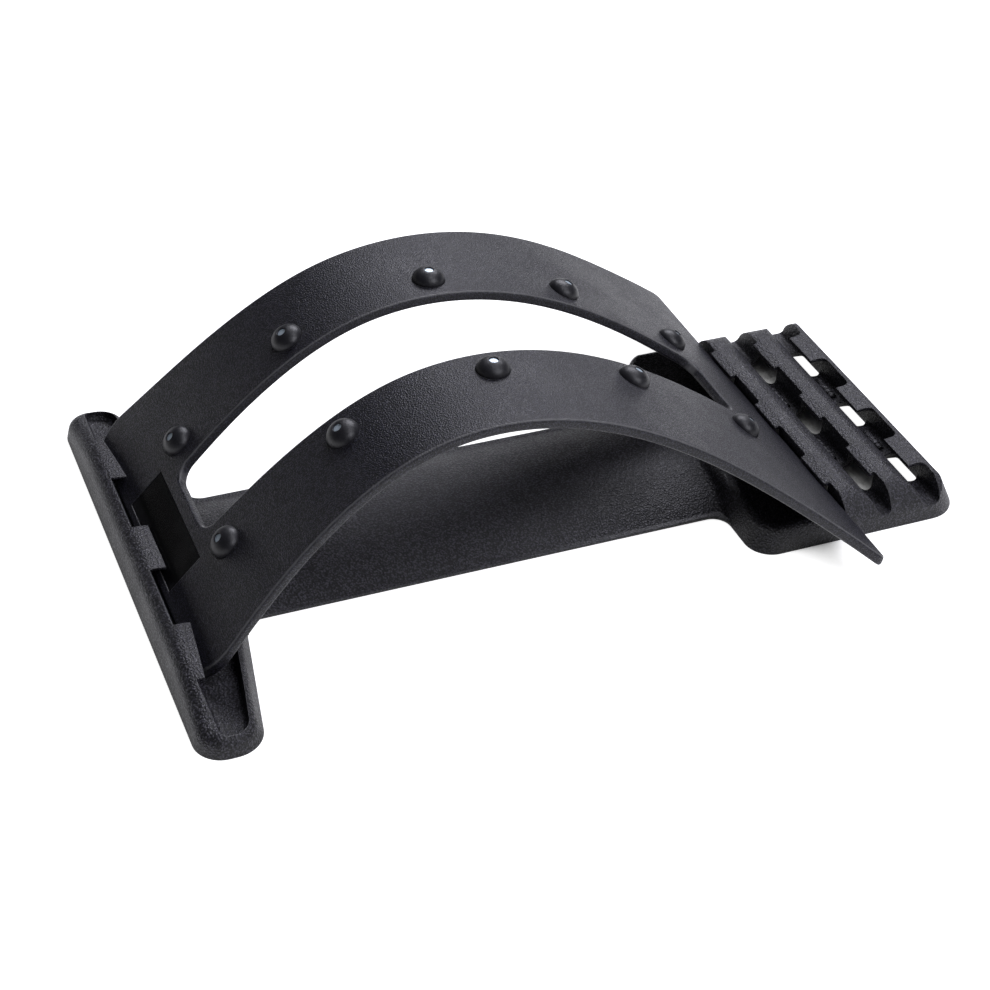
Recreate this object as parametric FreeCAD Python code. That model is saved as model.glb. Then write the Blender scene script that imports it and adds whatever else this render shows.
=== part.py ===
import FreeCAD, Part
import math
import os

# Arched back stretcher: a low moulded base with a trough at its left end and three hooked
# seat rows at its right end, and a bent two-strip board sprung between them.
# Millimetres, +Z up, the base stands on z = 0 and is centred on the origin in plan.
# X runs along the base from the trough to the seat rows, Y across it.

# Whole base
base_length = 377.0
base_wall = 2.4
cut_overrun = 5.0
seat_gap = 0.3
near_enough = 0.3
# How far up a face looks, where 1 is straight up: tops look up more than this, sides less
rim_top_share = 0.6
rim_side_share = 0.3

# Trough bar across the left end of the base
bar_length = 236.8
bar_height = 15.8
bar_end_width = 27.0
bar_mid_width = 40.0
bar_mid_half = 48.0
bar_outer_corner = 12.0
bar_inner_corner = 14.0
bar_bend_radius = 30.0
bar_outer_lean = 3.2
bar_end_lean = 3.4
bar_inner_lean = 6.5
bar_rim_height = 10.2
bar_level_half = 60.0
bar_shoulder_half = 80.0
bar_shoulder_height = 15.0
bar_end_height = 8.4
bar_edge_round = 6.5

# Trough let into the bar; the foot of its outer wall leans in under the hooks
trough_wall_top = 7.8
trough_wall_foot = 11.1
trough_floor = 4.8
trough_rim = 4.2
trough_mid_rim = 6.0
trough_end_rim = 3.0
trough_draft = 1.6
trough_outer_corner_share = 0.28
trough_inner_corner_share = 0.68
trough_floor_round = 2.0

# Hooks over the trough, level with the bar's top
bar_hook_reach = 7.2
bar_hook_bow = 3.1
bar_hook_drop = 0.4
bar_hook_thickness = 1.2
bar_hook_middle_half = 15.0
bar_hook_outer_start = 52.2
bar_hook_outer_end = 84.7

# Middle of the base: a shallow dome with a thin lip along its foot
middle_half = 43.2
middle_height = 9.7
middle_lip = 2.4
middle_lip_height = 1.4
foot_blend = 8.0
block_join_round = 4.0

# Seat block at the right end of the base
block_length = 109.5
block_half = 76.2
block_front_corner = 12.0
block_rear_corner = 17.0
block_rear_corner_top = 8.0
block_front_lean = 6.4
block_side_lean = 2.2
block_rear_lean = 12.2
block_front_height = 13.4
block_front_round = 4.0
block_rear_round = 3.0
block_shoulder_half = 59.0
block_shoulder_height = 6.5

# Seat rows: each ridge has a steep wall facing the board and a long back
row_count = 3
row_wall_inset = 14.3
row_pitches = (26.0, 23.8)
row_wall_height = 18.5
row_floor = 7.7
row_back_rise = 0.7
row_back_length = 15.2
row_back_end = 13.6
row_back_crown_share = 0.45
row_run_out = 4.6
row_run_out_length_share = 0.4
row_run_out_rise_share = 0.42
row_floor_round = 2.6

# Hooks on the seat rows, and the slot through the floor under each hook
row_hook_reaches = (7.5, 2.2, 2.4)
row_hook_drop = 0.8
row_hook_thickness = 1.5
row_hook_scoop_share = 0.45
row_hook_middle_half = 10.0
row_hook_outer_start = 34.8
row_hook_outer_end = 56.4
row_hook_root = 2.0
slot_width = 8.0
slot_behind_row = (0.8, 4.6, 4.6)
slot_corner = 3.6
window_height = 6.6
window_top_round = 3.0

# Ribbed lumps on the channels' floors, between the slots; the board's end stands on them
lump_radius = 2.2
lump_groove = 0.4
lump_rise = 2.1
lump_margin = 4.6
lump_offset = 2.4
lump_ring_count = 5
lump_ring_share = 0.62

# Ribs under the base
rib_thickness = 1.8
rib_foot_gap = 1.0
rib_side = 22.0
rib_cross_count = 5

# Arched board
board_thickness = 4.8
board_rise = 89.6
board_left_angle = 47.5
board_right_angle = 40.0
board_left_half = 89.9
board_waist_half = 74.1
board_right_half = 115.6
board_left_corner = 11.0
board_right_corner = 4.0
board_edge_round = 1.3
board_side_offset = 4.8
board_outline_points = 12
left_flare_power = 2.26
right_flare_power = 1.79
waist_share = 0.347
arch_steps = 24
# Height of the board along its span, as shares of the span and of the rise
arch_shares = (
    (0.0816, 0.2967), (0.2143, 0.7062), (0.3470, 0.9476), (0.4798, 1.0000),
    (0.6125, 0.9073), (0.7452, 0.6916), (0.8779, 0.3844),
)

# Gap between the two strips of the board
gap_left_share = 0.069
gap_right_share = 0.9025
gap_end_half = 21.6
gap_middle_half = 23.9
gap_corner = 8.0

# Blank label plate let into the board's left cross-piece
label_left_share = 0.0095
label_right_share = 0.0550
label_half = 31.2
label_thickness = 0.5
label_sunk = 0.2
label_gap = 0.15

# Massage studs pressed into the board
stud_shares = (0.0863, 0.2541, 0.4701, 0.6911, 0.8889)
stud_side = 37.3
stud_radius = 7.3
stud_height = 4.9
stud_seat_depth = 0.7
stud_seat_gap = 0.1
stud_shoulder = 1.0
shank_radius = 3.2
shank_gap = 0.05
shank_end_gap = 0.4

# Round magnets let into the tips of the studs
magnet_radius = 2.0
magnet_thickness = 2.0
magnet_sunk = 0.5
magnet_gap = 0.05
magnet_edge_round = 0.2

# Places worked out from the sizes above
left_end = -base_length / 2
right_end = base_length / 2
diagonal_share = math.sin(math.radians(45))
block_height = row_wall_height + row_back_rise
block_start = right_end - block_length
row_walls = []
for row in range(row_count):
    row_walls.append(right_end - row_wall_inset - sum(row_pitches[:row]))
nearest_wall = row_walls[-1]
slope_start = nearest_wall - row_floor_round - 2 * row_run_out


def vec(x, y, z):
    return FreeCAD.Vector(x, y, z)


def box(x_range, y_range, z_range):
    size = [high - low for low, high in (x_range, y_range, z_range)]
    return Part.makeBox(size[0], size[1], size[2], vec(x_range[0], y_range[0], z_range[0]))


def fuse_all(solids):
    return solids[0].multiFuse(solids[1:]).removeSplitter()


def rounded_wire(corners, place):
    """Closed wire through (u, v, radius) corners; place turns (u, v) into a point."""
    edges = []
    ends = []
    count = len(corners)
    for i in range(count):
        u, v, radius = corners[i]
        before = corners[i - 1]
        after = corners[(i + 1) % count]
        here = place(u, v)
        if radius == 0:
            ends.append((here, None, here))
            continue
        back = (place(before[0], before[1]) - here).normalize()
        ahead = (place(after[0], after[1]) - here).normalize()
        half_angle = back.getAngle(ahead) / 2
        trim = radius / math.tan(half_angle)
        middle = (back + ahead).normalize()
        nearest = radius / math.sin(half_angle) - radius
        ends.append((here + back * trim, here + middle * nearest, here + ahead * trim))
    for i in range(count):
        start, middle, stop = ends[i]
        if middle is not None:
            edges.append(Part.Arc(start, middle, stop).toShape())
        following = ends[(i + 1) % count][0]
        edges.append(Part.makeLine(stop, following))
    return Part.Wire(edges)


def flat_at(z):
    return lambda x, y: vec(x, y, z)


def across_at(y):
    return lambda x, z: vec(x, y, z)


def along_at(x):
    return lambda y, z: vec(x, y, z)


def prism(wire, direction):
    return Part.Face(wire).extrude(direction)


def between(low_wire, high_wire):
    return Part.makeLoft([low_wire, high_wire], True, True)


def even_knots(count):
    """Multiplicities and knots of an evenly spaced quadratic curve that reaches its end poles."""
    spans = count - 2
    return [3] + [1] * (spans - 1) + [3], list(range(spans + 1))


def mirrored(shape):
    return shape.mirror(vec(0, 0, 0), vec(0, 1, 0))


def edge_span(edge):
    """Lowest and highest corner of an edge."""
    box_of_edge = edge.BoundBox
    low = vec(box_of_edge.XMin, box_of_edge.YMin, box_of_edge.ZMin)
    high = vec(box_of_edge.XMax, box_of_edge.YMax, box_of_edge.ZMax)
    return low, high


def upward(face, edge):
    """Upward share of a face's normal at the middle of one of its edges."""
    point = edge.valueAt((edge.FirstParameter + edge.LastParameter) / 2)
    u, v = face.Surface.parameter(point)
    return face.normalAt(u, v).z


def rim_edges(solid):
    """Edges where an upper face meets a side face."""
    rims = []
    for edge in solid.Edges:
        slopes = [upward(face, edge) for face in solid.ancestorsOfType(edge, Part.Face)]
        upright = -rim_side_share < min(slopes) < rim_top_share
        if len(slopes) > 1 and max(slopes) > rim_top_share and upright:
            rims.append(edge)
    return rims


def bar_outline(z, inset):
    """Plan of the trough bar at height z, drawn in evenly by inset and by its draft."""
    rise = z / bar_height
    outer = left_end + bar_outer_lean * rise + inset
    end = bar_length / 2 - bar_end_lean * rise - inset
    inner_end = left_end + bar_end_width - bar_inner_lean * rise - inset
    inner_mid = left_end + bar_mid_width - bar_inner_lean * rise - inset
    narrowing = (inner_end - outer) / bar_end_width
    outer_corner = bar_outer_corner * narrowing
    inner_corner = bar_inner_corner * narrowing
    corners = [
        (outer, -end, outer_corner), (inner_end, -end, inner_corner),
        (inner_mid, -bar_mid_half, bar_bend_radius), (inner_mid, bar_mid_half, bar_bend_radius),
        (inner_end, end, inner_corner), (outer, end, outer_corner),
    ]
    return rounded_wire(corners, flat_at(z))


def bar_under_roof(depth):
    """Everything under the bar's curved top, or under a surface lower than it by depth."""
    half = bar_length / 2
    reach = half + cut_overrun
    fall = (bar_shoulder_height - bar_end_height) / (half - bar_shoulder_half)
    profile = [(0, bar_height), (bar_level_half, bar_height), (bar_shoulder_half, bar_shoulder_height),
               (half, bar_end_height), (reach, bar_end_height - fall * cut_overrun)]
    profile = [(-y, z) for y, z in profile[:0:-1]] + profile
    tip = left_end + trough_wall_top + bar_hook_reach
    rim = left_end + bar_mid_width - bar_inner_lean
    poles = []
    for x, drop, rim_share in ((left_end - cut_overrun, 0, 0), (left_end + trough_wall_top, 0, 0),
                               (tip, bar_hook_drop, 0), (rim, 0, 1), (rim + 2 * cut_overrun, 0, 1)):
        row_of_poles = []
        for y, z in profile:
            row_of_poles.append(vec(x, y, z + (min(z, bar_rim_height) - z) * rim_share - drop - depth))
        poles.append(row_of_poles)
    roof = Part.BSplineSurface()
    mults_x, knots_x = even_knots(len(poles))
    mults_y, knots_y = even_knots(len(profile))
    roof.buildFromPolesMultsKnots(poles, mults_x, mults_y, knots_x, knots_y, False, False, 2, 2)
    return roof.toShape().extrude(vec(0, 0, -2 * bar_height))


def trough_solid(margin):
    """Hollow of the trough, tapering with the bar; with a margin, the hollow and the wall round it."""
    wires = []
    for z in (trough_floor - margin, bar_height + trough_floor):
        rise = (z - trough_floor) / (bar_height - trough_floor)
        draft = trough_draft * (1 - rise)
        wall = left_end + trough_wall_foot + (trough_wall_top - trough_wall_foot) * rise - margin
        end = bar_length / 2 - trough_end_rim - draft + margin
        inner_end = left_end + bar_end_width - trough_rim - draft + margin
        inner_mid = left_end + bar_mid_width - trough_mid_rim - draft + margin
        outer_corner = (inner_end - wall) * trough_outer_corner_share
        inner_corner = (inner_end - wall) * trough_inner_corner_share
        corners = [
            (wall, -end, outer_corner), (inner_end, -end, inner_corner),
            (inner_mid, -bar_mid_half, bar_bend_radius), (inner_mid, bar_mid_half, bar_bend_radius),
            (inner_end, end, inner_corner), (wall, end, outer_corner),
        ]
        wires.append(rounded_wire(corners, flat_at(z)))
    body = between(wires[0], wires[1])
    floor_top = trough_floor - margin + near_enough
    floor_edges = [edge for edge in body.Edges if edge_span(edge)[1].z < floor_top]
    return body.makeFillet(trough_floor_round, floor_edges)


def bar_hook_plans():
    """Plans of the three hooks that hold the board's left end down in the trough."""
    root = left_end + trough_wall_top / 2
    tip = left_end + trough_wall_top + bar_hook_reach
    bowed = tip - bar_hook_bow
    outlines = [[(root, -bar_hook_middle_half, 0), (tip, -bar_hook_middle_half, 0),
                 (tip, bar_hook_middle_half, 0), (root, bar_hook_middle_half, 0)]]
    outlines.append([(root, bar_hook_outer_start, 0), (tip, bar_hook_outer_start, 0),
                     (bowed, bar_hook_outer_end, 0), (root, bar_hook_outer_end, 0)])
    plans = [prism(rounded_wire(outline, flat_at(0)), vec(0, 0, 2 * bar_height)) for outline in outlines]
    return plans + [mirrored(plans[1])]


def make_bar(trough):
    """Trough bar with its rounded top; the hooks are what the trough leaves of that top."""
    body = between(bar_outline(0, 0), bar_outline(bar_height + cut_overrun, 0))
    body = body.common(bar_under_roof(0)).Solids[0]
    body = body.makeFillet(bar_edge_round, rim_edges(body))
    hooks = fuse_all(bar_hook_plans()).cut(bar_under_roof(bar_hook_thickness))
    return body.cut(trough.cut(hooks))


def make_bar_hollow():
    """Space under the bar, one wall inside it and round its trough."""
    inside = between(bar_outline(-cut_overrun, base_wall), bar_outline(bar_height, base_wall))
    return inside.common(bar_under_roof(base_wall)).cut(trough_solid(base_wall))


def make_middle(side, foot_z, crown_z, skirt):
    """Long dome between the bar and the block, above a skirt with the given (y, z) corners."""
    start = left_end + bar_end_width / 2
    stop = block_start + block_front_lean + base_wall
    low, crown, high = (vec(start, y, z) for y, z in ((-side, foot_z), (0, crown_z), (side, foot_z)))
    points = [high] + [vec(start, y, z) for y, z in skirt]
    points += [vec(start, -y, z) for y, z in reversed(skirt)] + [low]
    edges = [Part.Arc(low, crown, high).toShape()]
    for i in range(len(points) - 1):
        edges.append(Part.makeLine(points[i], points[i + 1]))
    return prism(Part.Wire(edges), vec(stop - start, 0, 0))


def make_middle_outside():
    """Domed middle of the base with the thin lip along its foot."""
    skirt = [(middle_half, middle_lip_height), (middle_half, 0)]
    return make_middle(middle_half - middle_lip, middle_lip_height, middle_height, skirt)


def make_middle_hollow():
    """Space under the dome, one wall inside it."""
    side = middle_half - middle_lip - base_wall
    return make_middle(side, 0, middle_height - base_wall, [(side, -cut_overrun)])


def block_section():
    """Saw-tooth side view of the seat block, as a closed wire in the plane y = 0."""
    start = block_start - cut_overrun
    stop = right_end + cut_overrun
    front = [vec(start, 0, -cut_overrun), vec(start, 0, block_front_height),
             vec(slope_start, 0, block_front_height), vec(slope_start + row_run_out, 0, row_floor)]
    edges = [Part.makeLine(front[i], front[i + 1]) for i in range(len(front) - 1)]
    last = front[-1]
    turn = row_floor_round * (1 - diagonal_share)
    for wall_x in sorted(row_walls):
        foot = vec(wall_x - row_floor_round, 0, row_floor)
        bend = vec(wall_x - turn, 0, row_floor + turn)
        up = vec(wall_x, 0, row_floor + row_floor_round)
        crest = vec(wall_x, 0, row_wall_height)
        edges += [Part.makeLine(last, foot), Part.Arc(foot, bend, up).toShape(), Part.makeLine(up, crest)]
        last = crest
        if wall_x < max(row_walls):
            crown = vec(wall_x + row_back_length * row_back_crown_share, 0, block_height)
            back_end = vec(wall_x + row_back_length, 0, row_back_end)
            sag = vec(back_end.x + row_run_out * row_run_out_length_share, 0,
                      row_floor + (row_back_end - row_floor) * row_run_out_rise_share)
            last = vec(back_end.x + row_run_out, 0, row_floor)
            edges += [Part.Arc(crest, crown, back_end).toShape(), Part.Arc(back_end, sag, last).toShape()]
    rear = [last, vec(stop, 0, row_wall_height), vec(stop, 0, -cut_overrun), front[0]]
    edges += [Part.makeLine(rear[i], rear[i + 1]) for i in range(len(rear) - 1)]
    return Part.Wire(edges)


def block_end_trim(inset):
    """Rounded shoulders of the block, as a long bar with that end view."""
    half = block_half - inset
    shoulder = block_shoulder_half - inset / 2
    wide = half - block_side_lean * block_shoulder_height / block_height
    top = block_height - inset
    arc_y = shoulder + (wide - shoulder) * diagonal_share
    arc_z = block_shoulder_height + (top - block_shoulder_height) * diagonal_share
    start = block_start - cut_overrun
    right = [vec(start, half, 0), vec(start, wide, block_shoulder_height), vec(start, shoulder, top)]
    left = [vec(start, -point.y, point.z) for point in right]
    edges = [
        Part.makeLine(right[0], right[1]), Part.Arc(right[1], vec(start, arc_y, arc_z), right[2]).toShape(),
        Part.makeLine(right[2], left[2]), Part.Arc(left[2], vec(start, -arc_y, arc_z), left[1]).toShape(),
        Part.makeLine(left[1], left[0]), Part.makeLine(left[0], right[0]),
    ]
    return prism(Part.Wire(edges), vec(block_length + 2 * cut_overrun, 0, 0))


def block_body(inset):
    """Seat block drawn in evenly by inset: rounded plan, leaning sides, shoulders and saw-tooth top."""
    outlines = []
    for z, rear_corner in ((0, block_rear_corner), (block_height, block_rear_corner_top)):
        rise = z / block_height
        half = block_half - block_side_lean * rise - inset
        front = block_start + block_front_lean * rise + inset
        rear = right_end - block_rear_lean * rise - inset
        corners = [(front, -half, block_front_corner), (rear, -half, rear_corner - inset),
                   (rear, half, rear_corner - inset), (front, half, block_front_corner)]
        outlines.append(rounded_wire(corners, flat_at(z)))
    section = block_section()
    if inset > 0:
        section = section.makeOffset2D(-inset)
    width = block_half + cut_overrun
    section.translate(vec(0, -width, 0))
    teeth = prism(section, vec(0, 2 * width, 0))
    return between(outlines[0], outlines[1]).common(teeth).common(block_end_trim(inset)).Solids[0]


def make_block():
    """Seat block as a solid body, its front and rear top edges rounded."""
    body = block_body(0)
    front = []
    for edge in body.Edges:
        low, high = edge_span(edge)
        level = max(abs(low.z - block_front_height), abs(high.z - block_front_height)) < near_enough
        if level and low.x < slope_start - near_enough:
            front.append(edge)
    body = body.makeFillet(block_front_round, front)
    rear = [edge for edge in rim_edges(body)
            if edge_span(edge)[0].x > row_walls[0] + near_enough and edge.Length > block_half]
    return body.makeFillet(block_rear_round, rear)


def hook_spans():
    """The three stretches of a row, across the base, that carry a hook."""
    outer = (row_hook_outer_start, row_hook_outer_end)
    return [(-row_hook_middle_half, row_hook_middle_half), outer, (-outer[1], -outer[0])]


def make_row_hooks():
    """Flat hooks on the crests of the seat rows, which leave the wall in a hollow curve."""
    hooks = []
    for wall_x, reach in zip(row_walls, row_hook_reaches):
        root = wall_x + row_hook_root
        tip = wall_x - reach
        tip_z = row_wall_height - row_hook_drop
        scoop = reach * row_hook_scoop_share
        for low, high in hook_spans():
            start = low - 2 * scoop
            stop = high + 2 * scoop
            side_view = [(root, row_wall_height, 0), (wall_x, row_wall_height, 0), (tip, tip_z, 0),
                         (tip, tip_z - row_hook_thickness, 0), (root, row_wall_height - row_hook_thickness, 0)]
            plan = [(root, start, 0), (wall_x, start, 0), (wall_x, low, scoop), (tip, low, 0),
                    (tip, high, 0), (wall_x, high, scoop), (wall_x, stop, 0), (root, stop, 0)]
            slab = prism(rounded_wire(side_view, across_at(start)), vec(0, stop - start, 0))
            hooks.append(slab.common(prism(rounded_wire(plan, flat_at(0)), vec(0, 0, 2 * row_wall_height))))
    return hooks


def make_slots():
    """Slots through the floor under the hooks, each with a pocket behind the wall."""
    cuts = []
    ceiling = row_wall_height - row_hook_drop - row_hook_thickness
    for wall_x, behind in zip(row_walls, slot_behind_row):
        stop = wall_x + behind
        for low, high in hook_spans():
            corners = [(stop - slot_width, low, slot_corner), (stop, low, slot_corner),
                       (stop, high, slot_corner), (stop - slot_width, high, slot_corner)]
            outline = rounded_wire(corners, flat_at(-cut_overrun))
            cuts.append(prism(outline, vec(0, 0, ceiling + cut_overrun)))
    return cuts


def make_windows():
    """Openings through the end wall behind the last row of slots."""
    cuts = []
    start = row_walls[0] + slot_behind_row[0] - slot_width
    for low, high in hook_spans():
        corners = [(low, -cut_overrun, 0), (high, -cut_overrun, 0),
                   (high, window_height, window_top_round), (low, window_height, window_top_round)]
        reach = right_end + cut_overrun - start
        cuts.append(prism(rounded_wire(corners, along_at(start)), vec(reach, 0, 0)))
    return cuts


def make_lumps():
    """Ribbed lumps on the floors of the channels, between the slots."""
    lumps = []
    low = row_hook_middle_half + lump_margin
    high = row_hook_outer_start - lump_margin
    pitch = (high - low) / lump_ring_count
    for wall_x in row_walls:
        x = wall_x - lump_offset - lump_radius
        z = row_floor + lump_rise - lump_radius
        lump = [Part.makeCylinder(lump_radius - lump_groove, high - low, vec(x, low, z), vec(0, 1, 0))]
        for i in range(lump_ring_count):
            start = low + pitch * (i + (1 - lump_ring_share) / 2)
            lump.append(Part.makeCylinder(lump_radius, pitch * lump_ring_share, vec(x, start, z), vec(0, 1, 0)))
        lump = fuse_all(lump)
        lumps.append(lump)
        lumps.append(mirrored(lump))
    return lumps


def make_ribs(outer):
    """Thin ribs under the dome and the block, clipped to the base's outside."""
    ribs = []
    top = row_wall_height
    start = left_end + bar_mid_width
    for side in (-rib_side, rib_side):
        span = (side - rib_thickness / 2, side + rib_thickness / 2)
        ribs.append(box((start, right_end - block_rear_lean), span, (rib_foot_gap, top)))
    run = block_start - start
    for i in range(rib_cross_count):
        x = start + run * (i + 1) / (rib_cross_count + 1)
        span = (x - rib_thickness / 2, x + rib_thickness / 2)
        ribs.append(box(span, (-middle_half, middle_half), (rib_foot_gap, top)))
    return [rib.common(outer) for rib in ribs]


def foot_web(corner_x, side):
    """Concave corner of the lip where it runs out onto the bar or the block, at +Y."""
    reach = foot_blend * side
    share = 1 - diagonal_share
    start = vec(corner_x - reach, middle_half, 0)
    stop = vec(corner_x, middle_half + foot_blend, 0)
    middle = vec(corner_x - reach * share, middle_half + foot_blend * share, 0)
    root = vec(corner_x + reach, middle_half + foot_blend, 0)
    inner = vec(corner_x + reach, middle_half - middle_lip, 0)
    back = vec(corner_x - reach, middle_half - middle_lip, 0)
    edges = [Part.Arc(start, middle, stop).toShape(), Part.makeLine(stop, root), Part.makeLine(root, inner),
             Part.makeLine(inner, back), Part.makeLine(back, start)]
    return prism(Part.Wire(edges), vec(0, 0, middle_lip_height))


def make_outside(trough):
    """The base's outside as one solid, with the dome blended into the block."""
    webs = [foot_web(block_start, 1), foot_web(left_end + bar_mid_width, -1)]
    webs += [mirrored(web) for web in webs]
    pieces = [make_bar(trough), make_middle_outside().cut(trough), make_block()] + webs
    outside = fuse_all(pieces).Solids[0]
    joins = []
    for edge in outside.Edges:
        low, high = edge_span(edge)
        inside = low.x > block_start - near_enough and high.x < block_start + block_front_lean + near_enough
        above_lip = high.z > middle_lip_height + near_enough
        if inside and above_lip and max(abs(low.y), abs(high.y)) < middle_half:
            joins.append(edge)
    return outside.makeFillet(block_join_round, joins)


def make_base():
    """The whole base, one thin-walled moulding with hooks, slots and ribs."""
    trough = trough_solid(0)
    outside = make_outside(trough)
    hollow = fuse_all([make_middle_hollow(), block_body(base_wall)]).cut(trough_solid(base_wall))
    shell = outside.cut(make_bar_hollow()).cut(hollow)
    shell = fuse_all([shell] + make_ribs(outside) + make_lumps())
    for cut in make_slots() + make_windows():
        shell = shell.cut(cut)
    return fuse_all([shell] + make_row_hooks())


# The arch: its left end stands in the trough, its right end in the nearest seat row
def arch_ends():
    """Top corners of the board's two ends, set off their walls, floor and lumps by the seat gap."""
    left_drop = board_thickness * math.cos(math.radians(board_left_angle))
    right_drop = board_thickness * math.cos(math.radians(board_right_angle))
    left_z = trough_floor + seat_gap + left_drop
    right_z = row_floor + lump_rise + seat_gap + right_drop
    rise = (left_z - trough_floor) / (bar_height - trough_floor)
    wall = left_end + trough_wall_foot + (trough_wall_top - trough_wall_foot) * rise
    return vec(wall + seat_gap, 0, left_z), vec(nearest_wall - seat_gap, 0, right_z)


arch_left, arch_right = arch_ends()
span = arch_right.x - arch_left.x


def arch_x(share):
    return arch_left.x + span * share


def make_arch_curve():
    """Centre line of the board's top face, in the plane y = 0."""
    points = [arch_left]
    for along, up in arch_shares:
        points.append(vec(arch_x(along), 0, arch_left.z + board_rise * up))
    points.append(arch_right)
    left = math.radians(board_left_angle)
    right = math.radians(board_right_angle)
    curve = Part.BSplineCurve()
    curve.interpolate(Points=points, InitialTangent=vec(math.cos(left), 0, math.sin(left)) * span,
                      FinalTangent=vec(math.cos(right), 0, -math.sin(right)) * span)
    return curve


arch_curve = make_arch_curve()


def arch_point(parameter, depth):
    """Point and upward normal of the arch, depth below its top face."""
    tangent = arch_curve.tangent(parameter)[0]
    normal = vec(-tangent.z, 0, tangent.x)
    return arch_curve.value(parameter) - normal * depth, normal


def arch_line(depth, y):
    """Edge that follows the arch at a depth below its top face."""
    if depth == 0:
        curve = arch_curve.copy()
    else:
        first = arch_curve.FirstParameter
        last = arch_curve.LastParameter
        points = []
        for i in range(arch_steps + 1):
            points.append(arch_point(first + (last - first) * i / arch_steps, depth)[0])
        curve = Part.BSplineCurve()
        curve.interpolate(Points=points)
    edge = curve.toShape()
    edge.translate(vec(0, y, 0))
    return edge


def arch_slab(top_depth, bottom_depth):
    """Slab between two depths of the arch, wider than the board."""
    start = -2 * board_right_half
    high = arch_line(top_depth, start)
    low = arch_line(bottom_depth, start)
    ends = [Part.makeLine(high.Vertexes[0].Point, low.Vertexes[0].Point),
            Part.makeLine(high.Vertexes[-1].Point, low.Vertexes[-1].Point)]
    wire = Part.Wire([ends[0], low, ends[1], high])
    return prism(wire, vec(0, 4 * board_right_half, 0))


def board_half(share):
    """Half-width of the board at a share of its span."""
    if share < waist_share:
        flare = (1 - share / waist_share) ** left_flare_power
        return board_waist_half + (board_left_half - board_waist_half) * flare
    flare = ((share - waist_share) / (1 - waist_share)) ** right_flare_power
    return board_waist_half + (board_right_half - board_waist_half) * flare


def upright_corners(plan):
    """Edges that run from the bottom of a solid to its top, sorted from left to right."""
    corners = []
    for edge in plan.Edges:
        low, high = edge_span(edge)
        if high.z - low.z > board_rise:
            corners.append(edge)
    return sorted(corners, key=lambda edge: edge_span(edge)[0].x)


def board_prism():
    """Plan of the board without its gap, as an upright prism."""
    shares = [i / board_outline_points for i in range(board_outline_points + 1)]
    side = [vec(arch_x(share), board_half(share), 0) for share in shares]
    curve = Part.BSplineCurve()
    curve.interpolate(Points=side)
    far = curve.toShape()
    near = mirrored(far)
    left = Part.makeLine(side[0], vec(side[0].x, -side[0].y, 0))
    right = Part.makeLine(side[-1], vec(side[-1].x, -side[-1].y, 0))
    plan = prism(Part.Wire([far, right, near, left]), vec(0, 0, 2 * board_rise))
    plan = plan.makeFillet(board_left_corner, upright_corners(plan)[:2])
    return plan.makeFillet(board_right_corner, upright_corners(plan)[-2:])


def gap_solid():
    """Gap between the strips: bowed sides, rounded corners, and ends square to the board."""
    wires = []
    for z in (0, 2 * board_rise):
        reaches = []
        for share in (gap_left_share, gap_right_share):
            point, normal = arch_point(arch_curve.parameter(arch_hit(share)), 0)
            reaches.append(point.x + (z - point.z) * normal.x / normal.z)
        left, right = reaches
        far = Part.Arc(vec(left, gap_end_half, z), vec((left + right) / 2, gap_middle_half, z),
                       vec(right, gap_end_half, z)).toShape()
        ends = [Part.makeLine(vec(x, gap_end_half, z), vec(x, -gap_end_half, z)) for x in (left, right)]
        wires.append(Part.Wire([far, ends[1], mirrored(far), ends[0]]))
    gap = between(wires[0], wires[1])
    return gap.makeFillet(gap_corner, upright_corners(gap))


def label_prism(margin):
    """Plan of the label plate; the recess for it is larger by the margin."""
    x_range = (arch_x(label_left_share) - margin, arch_x(label_right_share) + margin)
    half = label_half + margin
    return box(x_range, (-half, half), (0, 2 * board_rise))


def stud_places():
    """Centre on the board's top face, and outward normal, of every stud."""
    places = []
    for share in stud_shares:
        point, normal = arch_point(arch_curve.parameter(arch_hit(share)), 0)
        for side in (stud_side, -stud_side):
            places.append((point + vec(0, side, 0), normal))
    return places


def arch_hit(share):
    """Point of the arch above a share of its span."""
    x = arch_x(share)
    upright = Part.makeLine(vec(x, 0, 0), vec(x, 0, 2 * board_rise))
    return arch_curve.toShape().distToShape(upright)[1][0][0]


def pegged(radius, start, stop, place):
    """Cylinder along a stud's axis, between two heights above the board's top face."""
    point, normal = place
    return Part.makeCylinder(radius, stop - start, point + normal * start, normal)


def make_board(places):
    """Bent board with its gap, its label recess and the seats of the studs."""
    board = arch_slab(0, board_thickness).common(board_prism()).cut(gap_solid()).Solids[0]
    rims = [edge for edge in board.Edges if edge.Length > board_thickness]
    board = board.makeFillet(board_edge_round, rims)
    recess = arch_slab(-cut_overrun, label_sunk + label_thickness).common(label_prism(label_gap))
    board = board.cut(recess)
    for place in places:
        board = board.cut(pegged(stud_radius + stud_seat_gap, -stud_seat_depth, stud_height, place))
        board = board.cut(pegged(shank_radius + shank_gap, -2 * board_thickness, 0, place))
    return board


def make_label():
    """Blank plate in the recess of the left cross-piece."""
    return arch_slab(label_sunk, label_sunk + label_thickness).common(label_prism(0))


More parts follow.
